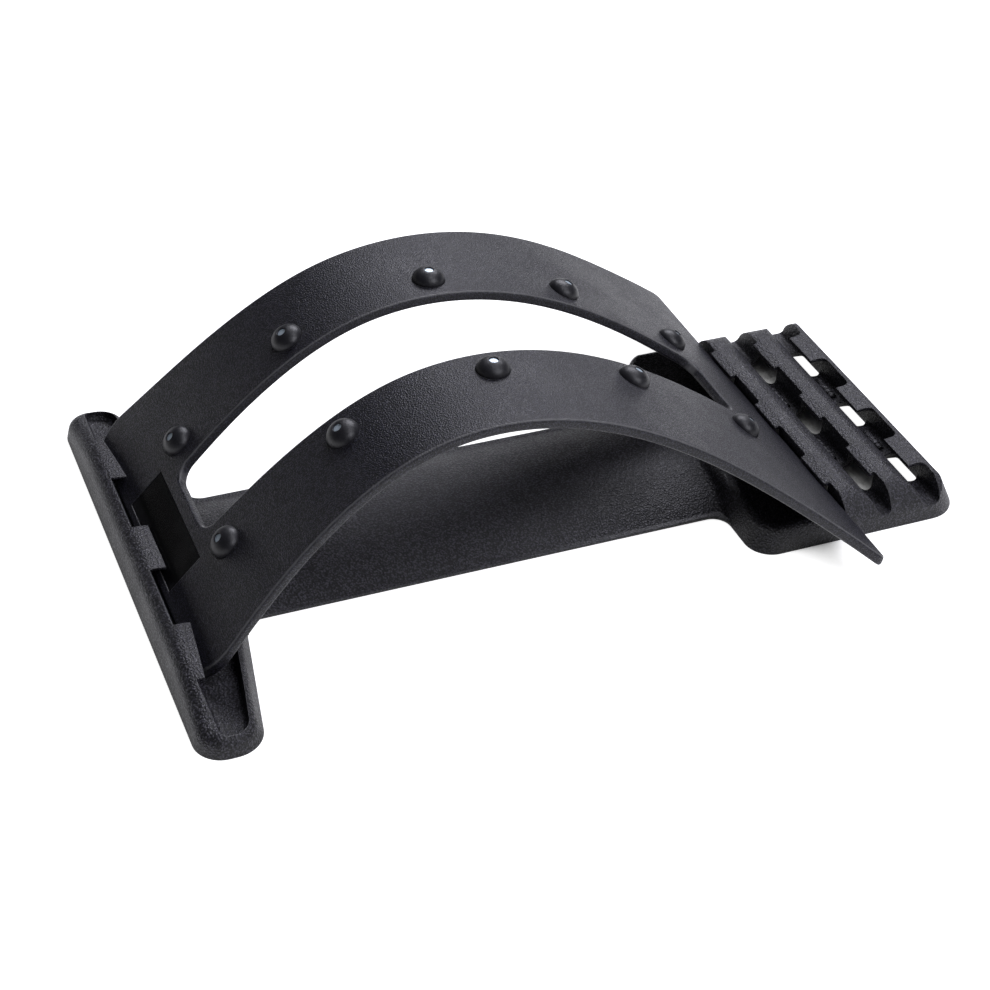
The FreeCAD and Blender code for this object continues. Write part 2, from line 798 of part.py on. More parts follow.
def make_stud(place):
    """Domed stud: a shoulder, a round cap with a pocket in its tip, and a shank."""
    bottom = -stud_seat_depth
    cap_base = bottom + stud_shoulder
    rise = stud_height - cap_base
    sphere_radius = (stud_radius ** 2 + rise ** 2) / (2 * rise)
    point, normal = place
    centre = point + normal * (stud_height - sphere_radius)
    ball = Part.makeSphere(sphere_radius, centre)
    column = pegged(stud_radius, bottom, stud_height + cut_overrun, place)
    head = column.common(fuse_all([ball, pegged(stud_radius, bottom, cap_base, place)]))
    shank = pegged(shank_radius, shank_end_gap - board_thickness, bottom, place)
    pocket_floor = stud_height - magnet_sunk - magnet_thickness
    pocket = pegged(magnet_radius + magnet_gap, pocket_floor, stud_height + cut_overrun, place)
    return fuse_all([head, shank]).cut(pocket)


def make_magnet(place):
    """Small round magnet standing on the floor of the stud's pocket."""
    top = stud_height - magnet_sunk
    disc = pegged(magnet_radius, top - magnet_thickness, top, place)
    point, normal = place
    circles = sorted(disc.Edges, key=lambda edge: (edge.CenterOfMass - point).dot(normal))
    return disc.makeFillet(magnet_edge_round, circles[-1:])


def export(shape, name):
    """Write one node, shifted sideways with the board where it belongs to it."""
    shape.exportStep("parts/" + name + ".step")
    print(name, "solids", len(shape.Solids), "valid", shape.isValid(), "volume", round(shape.Volume, 1))


def on_board(shape):
    """Copy moved sideways by the play the board sits at in its seats."""
    moved = shape.copy()
    moved.translate(vec(0, board_side_offset, 0))
    return moved


os.makedirs("parts", exist_ok=True)
export(make_base(), "base")
stud_list = stud_places()
export(on_board(make_board(stud_list)), "arch_board")
export(on_board(make_label()), "label_plate")
for number, stud_place in enumerate(stud_list):
    station = number // 2 + 1
    side_name = "far" if number % 2 == 0 else "near"
    export(on_board(make_stud(stud_place)), "stud_%d_%s" % (station, side_name))
    export(on_board(make_magnet(stud_place)), "magnet_%d_%s" % (station, side_name))
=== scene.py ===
"""Looks of the arched back stretcher, dressed round its packed construction. Lengths are metres."""

import logging
import math
from collections.abc import Iterator
from contextlib import contextmanager
from dataclasses import dataclass, field
from enum import Enum

import bmesh
import bpy
from mathutils import Euler, Matrix, Vector


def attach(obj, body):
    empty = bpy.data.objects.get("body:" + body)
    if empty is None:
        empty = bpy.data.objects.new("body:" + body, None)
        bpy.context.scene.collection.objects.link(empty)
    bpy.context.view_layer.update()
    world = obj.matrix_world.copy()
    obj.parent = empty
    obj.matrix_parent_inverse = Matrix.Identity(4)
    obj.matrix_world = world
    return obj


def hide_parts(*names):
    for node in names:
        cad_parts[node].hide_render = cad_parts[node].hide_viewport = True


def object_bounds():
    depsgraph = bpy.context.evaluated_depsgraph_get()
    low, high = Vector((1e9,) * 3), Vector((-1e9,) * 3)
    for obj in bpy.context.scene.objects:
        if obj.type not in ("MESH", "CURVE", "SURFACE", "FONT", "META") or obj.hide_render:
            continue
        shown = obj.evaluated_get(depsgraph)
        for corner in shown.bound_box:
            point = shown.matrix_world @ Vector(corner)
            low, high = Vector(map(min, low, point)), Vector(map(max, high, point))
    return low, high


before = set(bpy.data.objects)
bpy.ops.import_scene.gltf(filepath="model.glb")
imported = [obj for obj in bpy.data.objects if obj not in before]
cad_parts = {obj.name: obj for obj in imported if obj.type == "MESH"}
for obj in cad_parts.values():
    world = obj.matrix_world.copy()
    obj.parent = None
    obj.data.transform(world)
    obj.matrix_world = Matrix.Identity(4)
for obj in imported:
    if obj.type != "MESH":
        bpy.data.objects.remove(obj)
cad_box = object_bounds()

logging.basicConfig(level=logging.INFO, format="%(message)s")
log = logging.getLogger("back_stretcher")

MM = 0.001
FACING_DIGITS = 2
Colour = tuple[float, float, float]


class Side(Enum):
    """Which strip of the board a stud sits on, seen from the photograph's side."""

    FAR = "far"
    NEAR = "near"


class Grain(Enum):
    """Width of one grain of a moulded surface, in metres."""

    SILK = 0.35 * MM
    FINE = 0.70 * MM
    SAND = 0.95 * MM


class Wiring:
    """Adds nodes to one shader tree and joins their sockets."""

    def __init__(self, tree: bpy.types.NodeTree) -> None:
        """Start on a tree.

        Args:
            tree: Shader tree or group that gets the nodes.
        """
        self.tree = tree

    def add(self, kind: str, **settings: object) -> bpy.types.Node:
        """Add a node and set its own options.

        Args:
            kind: Blender's name for the node.
            settings: Options that are properties of the node.

        Returns:
            The new node.
        """
        node = self.tree.nodes.new(kind)
        for name, value in settings.items():
            setattr(node, name, value)
        return node

    def join(self, source: bpy.types.NodeSocket, target: bpy.types.NodeSocket) -> None:
        """Link an output to an input."""
        self.tree.links.new(source, target)

    def feed(self, node: bpy.types.Node, values: dict[str, object]) -> bpy.types.Node:
        """Fill a node's inputs, each from a socket or with a constant.

        Args:
            node: Node whose inputs are filled.
            values: Input name to output socket or constant.

        Returns:
            The same node.
        """
        for name, value in values.items():
            if isinstance(value, bpy.types.NodeSocket):
                self.join(value, node.inputs[name])
            else:
                node.inputs[name].default_value = value
        return node

    def sum(self, operation: str, first: object, second: object) -> bpy.types.NodeSocket:
        """One step of arithmetic on values.

        Args:
            operation: Blender's name for the operation.
            first: Socket or number.
            second: Socket or number.

        Returns:
            The result's socket.
        """
        node = self.add("ShaderNodeMath", operation=operation)
        for socket, value in zip(node.inputs, (first, second)):
            if isinstance(value, bpy.types.NodeSocket):
                self.join(value, socket)
            else:
                socket.default_value = value
        return node.outputs[0]

    def span(self, value: bpy.types.NodeSocket, low: float, high: float, to_low: float = 0.0,
             to_high: float = 1.0) -> bpy.types.NodeSocket:
        """Stretch a value's range, held within its new ends.

        Args:
            value: Socket to stretch.
            low: Value that becomes to_low.
            high: Value that becomes to_high.
            to_low: New value of low.
            to_high: New value of high.

        Returns:
            The stretched value's socket.
        """
        node = self.add("ShaderNodeMapRange", interpolation_type="SMOOTHSTEP")
        self.feed(node, {"Value": value, "From Min": low, "From Max": high,
                         "To Min": to_low, "To Max": to_high})
        return node.outputs["Result"]

    def blend(self, share: bpy.types.NodeSocket, first: object, second: object) -> bpy.types.NodeSocket:
        """Mix two colours.

        Args:
            share: Share of the second colour.
            first: Socket or colour.
            second: Socket or colour.

        Returns:
            The mixed colour's socket.
        """
        node = self.add("ShaderNodeMix", data_type="RGBA")
        self.join(share, node.inputs["Factor"])
        for socket, value in ((node.inputs[6], first), (node.inputs[7], second)):
            if isinstance(value, bpy.types.NodeSocket):
                self.join(value, socket)
            else:
                socket.default_value = (*value, 1.0)
        return node.outputs[2]


class ShaderGroup:
    """A shader group with named sockets, built once and used by several finishes."""

    name = "group"
    inputs: dict[str, float] = {}
    outputs: tuple[tuple[str, str], ...] = ()

    def tree(self) -> bpy.types.NodeTree:
        """Find the group, or build it the first time.

        Returns:
            The group's tree.
        """
        found = bpy.data.node_groups.get(self.name)
        if found:
            return found
        tree = bpy.data.node_groups.new(self.name, "ShaderNodeTree")
        for name, default in self.inputs.items():
            socket = tree.interface.new_socket(name, in_out="INPUT", socket_type="NodeSocketFloat")
            socket.default_value = default
        for name, kind in self.outputs:
            tree.interface.new_socket(name, in_out="OUTPUT", socket_type=kind)
        wiring = Wiring(tree)
        self.build(wiring, wiring.add("NodeGroupInput"), wiring.add("NodeGroupOutput"))
        return tree

    def build(self, wiring: Wiring, source: bpy.types.Node, result: bpy.types.Node) -> None:
        """Fill the group; each kind of group has its own.

        Args:
            wiring: Wiring of the group's tree.
            source: Node with the group's inputs.
            result: Node with the group's outputs.
        """
        raise NotImplementedError

    def place(self, wiring: Wiring, values: dict[str, object]) -> bpy.types.Node:
        """Put the group into a material.

        Args:
            wiring: Wiring of the material.
            values: Input name to socket or constant.

        Returns:
            The group's node.
        """
        node = wiring.add("ShaderNodeGroup", node_tree=self.tree())
        return wiring.feed(node, values)


class MouldedGrain(ShaderGroup):
    """Spark-eroded mould texture: rounded grains with finer grit, and slow patches."""

    name = "moulded_grain"
    inputs = {"Grain": Grain.SAND.value, "Grit": 0.9}
    outputs = (("Height", "NodeSocketFloat"), ("Speck", "NodeSocketFloat"), ("Patch", "NodeSocketFloat"))
    cell_smoothness = 0.35
    cell_span = (0.12, 0.66)
    grit_detail = 2.0
    grit_roughness = 0.55
    grit_span = (0.30, 0.70)
    speck_span = (0.45, 1.45)
    patches_per_metre = 38.0
    patch_detail = 3.0
    patch_roughness = 0.6
    patch_span = (0.35, 0.65)

    def build(self, wiring: Wiring, source: bpy.types.Node, result: bpy.types.Node) -> None:
        """Grains from smooth cells, grit from noise, specks on the highest grains, patches from slow noise.

        Args:
            wiring: Wiring of the group's tree.
            source: Node with the group's inputs.
            result: Node with the group's outputs.
        """
        place = wiring.add("ShaderNodeTexCoord").outputs["Object"]
        per_metre = wiring.sum("DIVIDE", 1.0, source.outputs["Grain"])
        cells = wiring.add("ShaderNodeTexVoronoi", feature="SMOOTH_F1")
        wiring.feed(cells, {"Vector": place, "Scale": per_metre, "Smoothness": self.cell_smoothness})
        grit = wiring.add("ShaderNodeTexNoise")
        wiring.feed(grit, {"Vector": place, "Scale": per_metre, "Detail": self.grit_detail,
                           "Roughness": self.grit_roughness})
        grains = wiring.span(cells.outputs["Distance"], *self.cell_span, 1.0, 0.0)
        gritty = wiring.span(grit.outputs["Fac"], *self.grit_span)
        height = wiring.sum("ADD", grains, wiring.sum("MULTIPLY", gritty, source.outputs["Grit"]))
        wiring.join(height, result.inputs["Height"])
        wiring.join(wiring.span(height, *self.speck_span), result.inputs["Speck"])
        patch = wiring.add("ShaderNodeTexNoise")
        wiring.feed(patch, {"Vector": place, "Scale": self.patches_per_metre, "Detail": self.patch_detail,
                            "Roughness": self.patch_roughness})
        wiring.join(wiring.span(patch.outputs["Fac"], *self.patch_span), result.inputs["Patch"])


class EdgeCatch(ShaderGroup):
    """Rounds sharp edges in the shading, and marks those that stand out, where a radius catches light."""

    name = "edge_catch"
    inputs = {"Radius": 0.5 * MM}
    outputs = (("Normal", "NodeSocketVector"), ("Edge", "NodeSocketFloat"))
    bevel_samples = 8
    crease_samples = 6
    crease_reach = 3.0 * MM
    outer_span = (0.72, 0.94)
    turned_span = (0.985, 0.80)

    def build(self, wiring: Wiring, source: bpy.types.Node, result: bpy.types.Node) -> None:
        """Compare the rounded normal with the face's own, and leave inner corners out.

        Args:
            wiring: Wiring of the group's tree.
            source: Node with the group's inputs.
            result: Node with the group's outputs.
        """
        rounded = wiring.add("ShaderNodeBevel", samples=self.bevel_samples)
        wiring.join(source.outputs["Radius"], rounded.inputs["Radius"])
        flat = wiring.add("ShaderNodeNewGeometry").outputs["Normal"]
        likeness = wiring.add("ShaderNodeVectorMath", operation="DOT_PRODUCT")
        wiring.join(rounded.outputs["Normal"], likeness.inputs[0])
        wiring.join(flat, likeness.inputs[1])
        wiring.join(rounded.outputs["Normal"], result.inputs["Normal"])
        crease = wiring.add("ShaderNodeAmbientOcclusion", samples=self.crease_samples, only_local=True)
        crease.inputs["Distance"].default_value = self.crease_reach
        outer = wiring.span(crease.outputs["AO"], *self.outer_span)
        turned = wiring.span(likeness.outputs["Value"], *self.turned_span)
        wiring.join(wiring.sum("MULTIPLY", turned, outer), result.inputs["Edge"])


class RimHighlightBand(ShaderGroup):
    """Marks the rounded rim along the sides of a board, by the way that its faces look, for a painted
    highlight line along it.
    """

    name = "rim_highlight_band"
    outputs = (("Band", "NodeSocketFloat"),)
    begun_span = (0.15, 0.40)
    ended_span = (0.60, 0.88)

    def build(self, wiring: Wiring, source: bpy.types.Node, result: bpy.types.Node) -> None:
        """Pick faces that look partly up and partly to the side.

        Args:
            wiring: Wiring of the group's tree.
            source: Node with the group's inputs, of which there are none.
            result: Node with the group's outputs.
        """
        parts = wiring.add("ShaderNodeSeparateXYZ")
        wiring.join(wiring.add("ShaderNodeTexCoord").outputs["Normal"], parts.inputs["Vector"])
        sideways = wiring.sum("ABSOLUTE", parts.outputs["Y"], 0.0)
        begun = wiring.span(sideways, *self.begun_span)
        ended = wiring.span(sideways, *self.ended_span, 1.0, 0.0)
        wiring.join(wiring.sum("MULTIPLY", begun, ended), result.inputs["Band"])


def new_material(name: str) -> tuple[bpy.types.Material, Wiring, bpy.types.Node]:
    """Start a material with its Principled shader wired to the output.

    Args:
        name: Material's name.

    Returns:
        The material, its wiring and its Principled node.
    """
    material = bpy.data.materials.new(name)
    material.use_nodes = True
    material.node_tree.nodes.clear()
    wiring = Wiring(material.node_tree)
    shader = wiring.add("ShaderNodeBsdfPrincipled")
    output = wiring.add("ShaderNodeOutputMaterial")
    wiring.join(shader.outputs["BSDF"], output.inputs["Surface"])
    return material, wiring, shader


@dataclass(frozen=True)
class MouldedPlastic:
    """Charcoal plastic from a textured mould, with softened and slightly polished edges, and a painted
    highlight that lightens the edges that stand out.
    """

    name: str
    colour: Colour
    grain: Grain
    grain_depth: float
    roughness: float
    speck_lift: float = 4.6
    pit_share: float = 0.35
    edge_radius: float = 0.8 * MM
    edge_highlight_colour: Colour = (0.085, 0.085, 0.090)
    edge_polish: float = 0.18
    grain_polish: float = 0.12
    has_rim_highlight: bool = False
    patch_lift: float = 1.12
    rough_swing: float = 0.03

    def lifted(self, factor: float) -> Colour:
        """The plastic's colour made lighter by a factor."""
        return tuple(channel * factor for channel in self.colour)

    def material(self) -> bpy.types.Material:
        """Build the finish.

        Returns:
            The material.
        """
        material, wiring, shader = new_material(self.name)
        grain = MouldedGrain().place(wiring, {"Grain": self.grain.value})
        edge = EdgeCatch().place(wiring, {"Radius": self.edge_radius})
        pits = wiring.blend(grain.outputs["Patch"], self.lifted(self.pit_share),
                            self.lifted(self.pit_share * self.patch_lift))
        colour = wiring.blend(grain.outputs["Speck"], pits, self.lifted(self.speck_lift))
        highlight_and_polish = edge.outputs["Edge"]
        # The board's rounded rim gets a painted highlight line as well.
        if self.has_rim_highlight:
            band = RimHighlightBand().place(wiring, {})
            highlight_and_polish = wiring.sum("MAXIMUM", highlight_and_polish, band.outputs["Band"])
        # Painted highlight: edges that stand out, and the board's rim, are blended towards a lighter
        # colour; the same mask lowers the roughness for the real polish.
        colour = wiring.blend(highlight_and_polish, colour, self.edge_highlight_colour)
        wiring.join(colour, shader.inputs["Base Color"])
        rough = wiring.span(grain.outputs["Patch"], 0.0, 1.0, self.roughness - self.rough_swing,
                            self.roughness + self.rough_swing)
        polish = wiring.sum("MAXIMUM", wiring.sum("MULTIPLY", highlight_and_polish, self.edge_polish),
                            wiring.sum("MULTIPLY", grain.outputs["Speck"], self.grain_polish))
        wiring.join(wiring.sum("SUBTRACT", rough, polish), shader.inputs["Roughness"])
        bump = wiring.add("ShaderNodeBump")
        wiring.feed(bump, {"Height": grain.outputs["Height"], "Normal": edge.outputs["Normal"],
                           "Distance": self.grain_depth, "Strength": 1.0})
        wiring.join(bump.outputs["Normal"], shader.inputs["Normal"])
        return material


@dataclass(frozen=True)
class GlossPlate:
    """Bare glossy black plate, a little lighter and duller in slow patches, as from handling."""

    name: str
    colour: Colour
    roughness: float
    worn_lift: float = 1.3
    worn_dulling: float = 0.05
    specular: float = 0.25

    def material(self) -> bpy.types.Material:
        """Build the finish.

        Returns:
            The material.
        """
        material, wiring, shader = new_material(self.name)
        grain = MouldedGrain().place(wiring, {"Grain": Grain.SILK.value})
        worn = tuple(channel * self.worn_lift for channel in self.colour)
        wiring.join(wiring.blend(grain.outputs["Patch"], self.colour, worn), shader.inputs["Base Color"])
        rough = wiring.span(grain.outputs["Patch"], 0.0, 1.0, self.roughness,
                            self.roughness + self.worn_dulling)
        wiring.join(rough, shader.inputs["Roughness"])
        shader.inputs["Specular IOR Level"].default_value = self.specular
        return material


@dataclass(frozen=True)
class PlatedSteel:
    """Bright satin plated disc with faint handling specks."""

    name: str
    colour: Colour
    roughness: float
    metal: float
    edge_radius: float = 0.2 * MM
    speck_share: float = 0.8
    speck_dulling: float = 0.12

    def material(self) -> bpy.types.Material:
        """Build the finish.

        Returns:
            The material.
        """
        material, wiring, shader = new_material(self.name)
        grain = MouldedGrain().place(wiring, {"Grain": Grain.SILK.value})
        edge = EdgeCatch().place(wiring, {"Radius": self.edge_radius})
        dulled = tuple(channel * self.speck_share for channel in self.colour)
        wiring.join(wiring.blend(grain.outputs["Speck"], self.colour, dulled), shader.inputs["Base Color"])
        shader.inputs["Metallic"].default_value = self.metal
        rough = wiring.span(grain.outputs["Speck"], 0.0, 1.0, self.roughness,
                            self.roughness + self.speck_dulling)
        wiring.join(rough, shader.inputs["Roughness"])
        wiring.join(edge.outputs["Normal"], shader.inputs["Normal"])
        return material


@dataclass(frozen=True)
class PaleFloor:
    """White floor: a plain matt white that the camera sees at full brightness, with soft shadows.

    Its glow is darkened near the object by ambient occlusion, a painted shadow, beside the lamps' own
    shadows. A painted pool of light, set by position along the floor, stands in for the light that comes in
    through the end wall's windows and reaches the floor under the last seat row.
    """

    window_start: float
    window_end: float
    name: str = "pale_floor"
    whiteness: float = 0.80
    roughness: float = 0.9
    camera_glow: float = 1.0
    mirrored_glow: float = 0.60
    shade_reach: float = 24.0 * MM
    shade_samples: int = 16
    shade_span: tuple[float, float] = (0.20, 0.62)

    def material(self) -> bpy.types.Material:
        """Build the finish.

        Returns:
            The material.
        """
        material, wiring, shader = new_material(self.name)
        shader.inputs["Base Color"].default_value = (self.whiteness, self.whiteness, self.whiteness, 1.0)
        shader.inputs["Roughness"].default_value = self.roughness
        rays = wiring.add("ShaderNodeLightPath")
        shade = wiring.add("ShaderNodeAmbientOcclusion", samples=self.shade_samples)
        shade.inputs["Distance"].default_value = self.shade_reach
        # Painted shadow: the floor's glow fades where ambient occlusion finds the object close by.
        clear = wiring.span(shade.outputs["AO"], *self.shade_span)
        parts = wiring.add("ShaderNodeSeparateXYZ")
        wiring.join(wiring.add("ShaderNodeTexCoord").outputs["Object"], parts.inputs["Vector"])
        # Painted light: a ramp by position along the floor brightens the floor under the last seat row, for
        # the light through the end wall's windows.
        windows = wiring.span(parts.outputs["X"], self.window_start, self.window_end)
        painted_shade_and_light = wiring.sum("MAXIMUM", clear, windows)
        direct = wiring.sum("MULTIPLY", rays.outputs["Is Camera Ray"], self.camera_glow)
        mirrored = wiring.sum("MULTIPLY", rays.outputs["Is Glossy Ray"], self.mirrored_glow)
        seen = wiring.sum("MAXIMUM", direct, mirrored)
        shader.inputs["Emission Color"].default_value = (1.0, 1.0, 1.0, 1.0)
        wiring.join(wiring.sum("MULTIPLY", seen, painted_shade_and_light), shader.inputs["Emission Strength"])
        return material


@dataclass
class Finishes:
    """Every finish of the stretcher, each built once."""

    base: MouldedPlastic = MouldedPlastic(
        name="base_plastic", colour=(0.0130, 0.0126, 0.0160), grain=Grain.SAND, grain_depth=0.15 * MM,
        roughness=0.51, speck_lift=4.2)
    board: MouldedPlastic = MouldedPlastic(
        name="board_plastic", colour=(0.0078, 0.0076, 0.0118), grain=Grain.FINE, grain_depth=0.10 * MM,
        roughness=0.52, speck_lift=3.8, edge_highlight_colour=(0.110, 0.110, 0.114), grain_polish=0.18, has_rim_highlight=True)
    stud: MouldedPlastic = MouldedPlastic(
        name="stud_plastic", colour=(0.013, 0.013, 0.016), grain=Grain.SILK, grain_depth=0.02 * MM,
        roughness=0.42, speck_lift=1.6, pit_share=0.8, edge_radius=0.2 * MM,
        edge_highlight_colour=(0.02, 0.02, 0.022), edge_polish=0.04, grain_polish=0.04)
    label: GlossPlate = GlossPlate(name="label_gloss", colour=(0.0030, 0.0030, 0.0035), roughness=0.20)
    disc: PlatedSteel = PlatedSteel(
        name="magnet_steel", colour=(0.62, 0.72, 0.80), roughness=0.38, metal=0.45)
    built: dict[str, bpy.types.Material] = field(default_factory=dict)

    def get(self, finish: MouldedPlastic | GlossPlate | PlatedSteel) -> bpy.types.Material:
        """The material of a finish, built the first time it is asked for."""
        if finish.name not in self.built:
            self.built[finish.name] = finish.material()
        return self.built[finish.name]


def dress(piece: bpy.types.Object, material: bpy.types.Material) -> None:
    """Give a piece its one material, and report it.

    Args:
        piece: Piece or node of the frame.
        material: Its finish.
    """
    piece.data.materials.clear()
    piece.data.materials.append(material)
    log.info("%s: %d faces", piece.name, len(piece.data.polygons))


@contextmanager
def edit_mode(piece: bpy.types.Object) -> Iterator[bmesh.types.BMesh]:
    """Open one piece in edit mode with nothing picked.

    Args:
        piece: Mesh object to edit.

    Yields:
        Its mesh, to pick by place in.
    """
    bpy.ops.object.select_all(action="DESELECT")
    piece.select_set(True)
    bpy.context.view_layer.objects.active = piece
    bpy.ops.object.mode_set(mode="EDIT")
    bpy.ops.mesh.select_all(action="DESELECT")
    yield bmesh.from_edit_mesh(piece.data)
    bpy.ops.object.mode_set(mode="OBJECT")


@dataclass
class StudSeat:
    """Where one stud sits: the middle of its disc's flat face, and its axis."""

    station: int
    side: Side
    disc_face: Vector
    axis: Vector

    @property
    def stud_node(self) -> str:
        """Name of the stud's node in the frame."""
        return f"stud_{self.station}_{self.side.value}"

    @property
    def disc_node(self) -> str:
        """Name of the disc's node in the frame."""
        return f"magnet_{self.station}_{self.side.value}"

    def turn(self) -> Matrix:
        """Turn from straight up to the stud's axis."""
        return Vector((0, 0, 1)).rotation_difference(self.axis).to_matrix().to_4x4()


def facing(face: bpy.types.MeshPolygon) -> tuple[float, ...]:
    """The way that a face looks, rounded so that the faces of one flat agree."""
    return tuple(round(share, FACING_DIGITS) for share in face.normal)


def largest_flat(node: bpy.types.Object) -> tuple[Vector, Vector]:
    """Middle and normal of the largest flat of a node that looks up.

    Args:
        node: Node of the frame.

    Returns:
        The flat's middle and its normal.
    """
    areas: dict[tuple[float, ...], float] = {}
    middles: dict[tuple[float, ...], Vector] = {}
    for face in node.data.polygons:
        key = facing(face)
        if face.normal.z > 0:
            areas[key] = areas.get(key, 0.0) + face.area
            middles[key] = middles.get(key, Vector()) + face.center * face.area
    best = max(areas, key=areas.get)
    normals = [face.normal for face in node.data.polygons if facing(face) == best]
    return middles[best] / areas[best], sum(normals, Vector()).normalized()


@dataclass
class StudSet:
    """The ten domed studs and the bright discs in their tips."""

    finishes: Finishes
    stations: int = 5
    radius: float = 7.3 * MM
    height: float = 4.9 * MM
    seat_depth: float = 0.7 * MM
    disc_radius: float = 2.0 * MM
    disc_sunk: float = 0.5 * MM
    disc_thickness: float = 2.0 * MM
    rim_radius: float = 2.5 * MM
    lip_steps: tuple[tuple[float, float], ...] = (
        (0.20 * MM, 0.03 * MM), (0.10 * MM, -0.05 * MM), (0.06 * MM, -0.25 * MM))
    pocket_play: float = 0.05 * MM
    disc_soft: float = 0.22 * MM
    disc_soft_share: float = 0.3
    disc_flat_share: float = 0.55
    disc_dish: float = 0.03 * MM
    facets: int = 64
    dome_steps: int = 14
    merge_reach: float = 0.001 * MM
    smooth_angle: float = math.radians(35.0)

    def seats(self) -> list[StudSeat]:
        """Read every stud's place from its disc's node.

        Returns:
            The ten seats, far and near for each station.
        """
        found = []
        for station in range(1, self.stations + 1):
            for side in Side:
                middle, axis = largest_flat(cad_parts[f"magnet_{station}_{side.value}"])
                found.append(StudSeat(station, side, middle, axis))
        return found

    def rings(self) -> list[tuple[float, float]]:
        """Radius and height of the stud's rings, from its foot over the lip to the floor of its pocket."""
        rise = self.height
        foot = [(self.radius, -self.seat_depth)]
        end_angle = math.acos(self.rim_radius / self.radius)
        full_height = rise / math.sin(end_angle)
        dome = []
        for step in range(self.dome_steps + 1):
            angle = end_angle * step / self.dome_steps
            dome.append((self.radius * math.cos(angle), full_height * math.sin(angle)))
        lip = [(self.disc_radius + outwards, rise + upwards) for outwards, upwards in self.lip_steps]
        pocket = [(self.disc_radius + self.pocket_play, rise - self.disc_sunk - self.disc_thickness)]
        return foot + dome + lip + pocket

    def disc_rings(self) -> list[tuple[float, float]]:
        """Radius and height of the disc's rings, from its back to its slightly dished face."""
        top = self.height - self.disc_sunk
        soft = self.disc_soft
        share = self.disc_soft_share
        return [(self.disc_radius, top - self.disc_thickness), (self.disc_radius, top - soft),
                (self.disc_radius - share * soft, top - share * soft), (self.disc_radius - soft, top),
                (self.disc_flat_share * self.disc_radius, top - self.disc_dish)]

    def turned(self, name: str, rings: list[tuple[float, float]]) -> bpy.types.Object:
        """Raise a round piece ring by ring from a disc, standing up at the origin.

        Args:
            name: Piece's name.
            rings: Radius and height of each ring.

        Returns:
            The piece.
        """
        bpy.ops.object.select_all(action="DESELECT")
        radius, height = rings[0]
        bpy.ops.mesh.primitive_circle_add(vertices=self.facets, radius=radius, fill_type="NGON",
                                          location=(0, 0, height))
        piece = bpy.context.object
        piece.name = name
        bpy.ops.object.transform_apply(location=True, rotation=True, scale=True)
        with edit_mode(piece):
            bpy.ops.mesh.select_all(action="SELECT")
            for next_radius, next_height in rings[1:]:
                bpy.ops.mesh.extrude_region_move(
                    TRANSFORM_OT_translate={"value": (0, 0, next_height - height)})
                share = next_radius / radius
                bpy.ops.transform.resize(value=(share, share, 1.0))
                radius, height = next_radius, next_height
            bpy.ops.mesh.select_all(action="SELECT")
            bpy.ops.mesh.remove_doubles(threshold=self.merge_reach)
            bpy.ops.mesh.normals_make_consistent(inside=False)
        return piece

    def settle(self, piece: bpy.types.Object, seat: StudSeat, depth: float) -> None:
        """Carry a piece from the origin to its seat, with its place in its mesh.

        Args:
            piece: Piece standing at the origin.
            seat: Its seat.
            depth: How far the board's surface lies below the disc's face.
        """
        point = seat.disc_face - seat.axis * depth
        piece.data.transform(Matrix.Translation(point) @ seat.turn())

    def build(self) -> list[bpy.types.Object]:
        """Model one stud and one disc, and set a copy of each in every seat.

        Returns:
            The twenty pieces.
        """
        stud = self.turned("stud_pattern", self.rings())
        top = self.height - self.disc_sunk
        disc = self.turned("disc_pattern", self.disc_rings())
        pieces = []
        for seat in self.seats():
            for pattern, node, finish, slot in (
                (stud, seat.stud_node, self.finishes.stud, "stud_plastic"),
                (disc, seat.disc_node, self.finishes.disc, "magnet_steel"),
            ):
                piece = pattern.copy()
                piece.data = pattern.data.copy()
                piece.name = node.replace("stud_", "dome_").replace("magnet_", "disc_")
                bpy.context.scene.collection.objects.link(piece)
                self.settle(piece, seat, top)
                bpy.ops.object.select_all(action="DESELECT")
                piece.select_set(True)
                bpy.context.view_layer.objects.active = piece
                bpy.ops.object.shade_smooth_by_angle(angle=self.smooth_angle)
                dress(piece, self.finishes.get(finish))
                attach(piece, "arch")
                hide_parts(node)
                pieces.append(piece)
        for pattern in (stud, disc):
            bpy.data.objects.remove(pattern)
        return pieces


@dataclass
class Base:
    """The one-piece moulded base, whose shape is the frame's own."""

    finishes: Finishes
    node: str = "base"

    def build(self) -> bpy.types.Object:
        """Dress the frame's base.

        Returns:
            The node's object.
        """
        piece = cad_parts[self.node]
        dress(piece, self.finishes.get(self.finishes.base))
        return piece


@dataclass
class Board:
    """The bent two-strip board and the blank plate on its left cross-piece."""

    finishes: Finishes
    board_node: str = "arch_board"
    label_node: str = "label_plate"

    def build(self) -> list[bpy.types.Object]:
        """Dress the board and its plate.

        Returns:
            The two nodes' objects.
        """
        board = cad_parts[self.board_node]
        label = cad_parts[self.label_node]
        dress(board, self.finishes.get(self.finishes.board))
        dress(label, self.finishes.get(self.finishes.label))
        return [board, label]


@dataclass
class SoftLamp:
    """One large studio softbox."""

    name: str
    place: tuple[float, float, float]
    width: float
    length: float
    power: float
    colour: Colour = (0.97, 0.97, 1.06)

    def build(self, aim: Vector) -> bpy.types.Object:
        """Hang the lamp and turn it to the object.

        Args:
            aim: Point that it looks at.

        Returns:
            The lamp.
        """
        light = bpy.data.lights.new(self.name, "AREA")
        light.shape = "RECTANGLE"
        light.size = self.width
        light.size_y = self.length
        light.energy = self.power
        light.color = self.colour
        lamp = bpy.data.objects.new(self.name, light)
        lamp.location = self.place
        lamp.rotation_euler = (aim - lamp.location).to_track_quat("-Z", "Y").to_euler()
        bpy.context.scene.collection.objects.link(lamp)
        return lamp


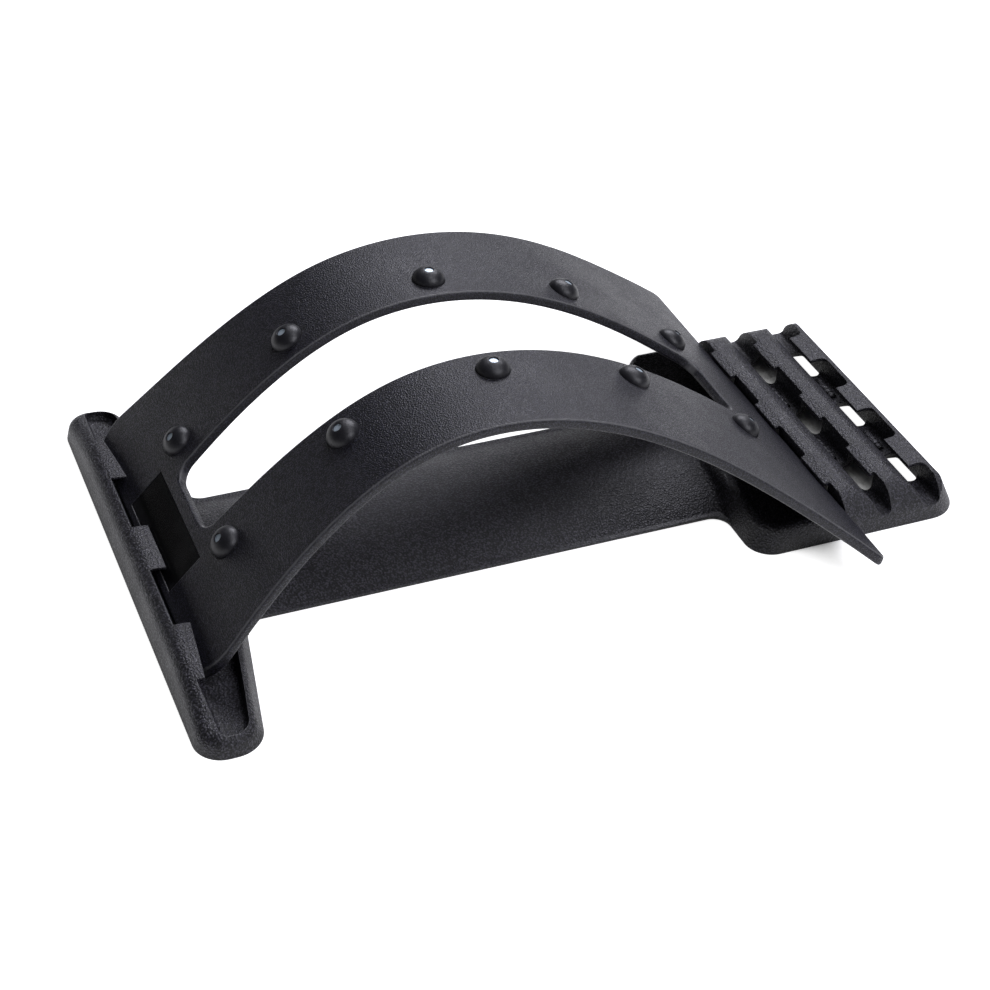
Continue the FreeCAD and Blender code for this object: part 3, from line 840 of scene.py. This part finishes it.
@dataclass
class Studio:
    """White floor, soft lamps and the camera at the photograph's place."""

    camera_place: tuple[float, float, float] = (-0.321134, -0.660508, 0.561190)
    camera_turn: tuple[float, float, float] = (52.4888, -3.0151, -22.4601)
    focal_pixels: float = 2006.4
    photo_width: float = 990.0
    sensor: float = 36.0
    clip_near: float = 0.01
    clip_far: float = 50.0
    floor_size: float = 12.0
    floor_drop: float = 0.05 * MM
    world_level: float = 0.04
    # Where the painted pool of window light on the floor begins and where it is full, back from the base's
    # end.
    window_start_inset: float = 27.0 * MM
    window_end_inset: float = 17.0 * MM
    lamps: tuple[SoftLamp, ...] = (
        SoftLamp("back_softbox", (0.74, 1.22, 1.34), 1.2, 0.7, 24.0),
        SoftLamp("top_softbox", (0.35, -0.2, 1.6), 0.4, 0.4, 5.0),
        SoftLamp("front_softbox", (0.5, -1.0, 1.1), 0.6, 0.5, 9.0),
    )

    def build_camera(self) -> None:
        """Set the camera where the photograph was taken from."""
        data = bpy.data.cameras.new("photo_camera")
        data.sensor_width = self.sensor
        data.lens = self.focal_pixels / self.photo_width * self.sensor
        data.clip_start = self.clip_near
        data.clip_end = self.clip_far
        camera = bpy.data.objects.new("photo_camera", data)
        camera.location = self.camera_place
        camera.rotation_euler = Euler([math.radians(angle) for angle in self.camera_turn], "XYZ")
        bpy.context.scene.collection.objects.link(camera)
        bpy.context.scene.camera = camera

    def build_floor(self) -> None:
        """Lay the floor just under the base."""
        bpy.ops.object.select_all(action="DESELECT")
        bpy.ops.mesh.primitive_plane_add(size=self.floor_size, location=(0, 0, -self.floor_drop))
        floor = bpy.context.object
        floor.name = "floor"
        end = cad_box[1].x
        finish = PaleFloor(end - self.window_start_inset, end - self.window_end_inset)
        floor.data.materials.append(finish.material())

    def build_world(self) -> None:
        """Even dim surroundings, which the camera sees as pale grey past the end of the floor."""
        world = bpy.data.worlds.new("studio_world")
        bpy.context.scene.world = world
        world.use_nodes = True
        world.node_tree.nodes.clear()
        wiring = Wiring(world.node_tree)
        sky = wiring.add("ShaderNodeBackground")
        rays = wiring.add("ShaderNodeLightPath")
        seen = wiring.span(rays.outputs["Is Camera Ray"], 0.0, 1.0, self.world_level, 1.0)
        wiring.join(seen, sky.inputs["Strength"])
        output = wiring.add("ShaderNodeOutputWorld")
        wiring.join(sky.outputs["Background"], output.inputs["Surface"])

    def build(self) -> None:
        """Set up the whole studio."""
        self.build_camera()
        self.build_floor()
        self.build_world()
        low, high = cad_box
        for lamp in self.lamps:
            lamp.build((low + high) / 2)
        bpy.context.scene.view_settings.view_transform = "Standard"
        log.info("studio: %d lamps", len(self.lamps))


def main() -> None:
    """Build the stretcher's looks and the studio."""
    finishes = Finishes()
    Base(finishes).build()
    Board(finishes).build()
    StudSet(finishes).build()
    Studio().build()


if __name__ == "__main__":
    main()
